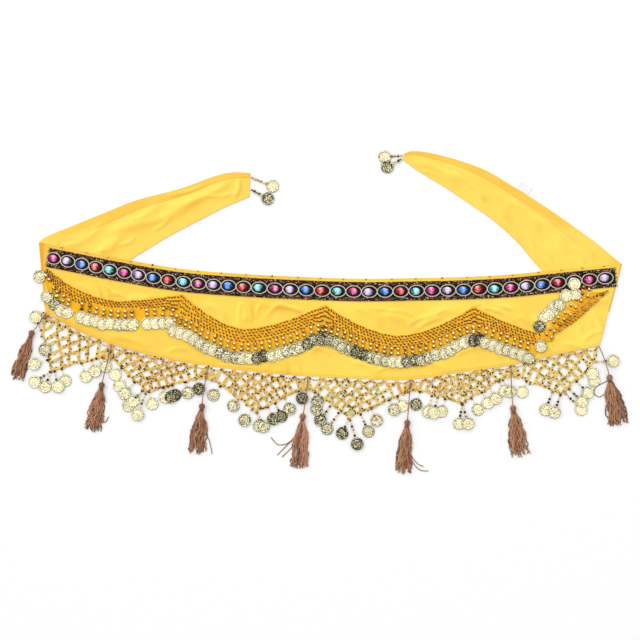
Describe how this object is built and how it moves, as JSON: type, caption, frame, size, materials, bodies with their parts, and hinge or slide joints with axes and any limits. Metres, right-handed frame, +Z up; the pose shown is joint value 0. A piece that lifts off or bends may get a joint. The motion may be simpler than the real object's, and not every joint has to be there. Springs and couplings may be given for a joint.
{
  "type": "belly dance hip scarf",
  "caption": "Flat-laid crescent hip scarf with two ties, a gem ribbon, a scalloped crochet band with coins, a pointed net fringe with coins, and tassels.",
  "frame": {"origin": "middle of the whole outline, on the surface the scarf lies on", "axes": "+X along the scarf from its left fold to its right fold, +Y from the fringe towards the ties, +Z up off the surface"},
  "size_m": [0.9869, 0.516, 0.0093],
  "materials": {
    "cloth": "soft matt woven cotton",
    "crochet": "matt crochet cotton",
    "net_yarn": "slightly glossy yarn",
    "gem_ribbon": "woven jacquard with metallic thread",
    "gems": "faceted acrylic gems",
    "coins": "stamped pale gold coins and beads",
    "tassel_thread": "matt brown thread",
    "label": "plain white label"
  },
  "bodies": {
    "root": {"panel": "cloth", "tie_left": "cloth", "tie_right": "cloth", "gem_ribbon": "gem_ribbon", "crochet_band": "crochet", "crochet_band_turned": "crochet", "band_coins": "coins", "band_coins_turned": "coins", "tip_drops_left": "coins", "tip_drops_right": "coins", "label": "label", "net_1": "net_yarn", "net_coins_1": "coins", "net_2": "net_yarn", "net_coins_2": "coins", "net_3": "net_yarn", "net_coins_3": "coins", "net_4": "net_yarn", "net_coins_4": "coins", "net_5": "net_yarn", "net_coins_5": "coins", "net_6": "net_yarn", "net_coins_6": "coins", "tassel_1": "tassel_thread", "tassel_2": "tassel_thread", "tassel_3": "tassel_thread", "tassel_4": "tassel_thread", "tassel_5": "tassel_thread", "tassel_6": "tassel_thread", "tassel_7": "tassel_thread"}
  },
  "joints": []
}
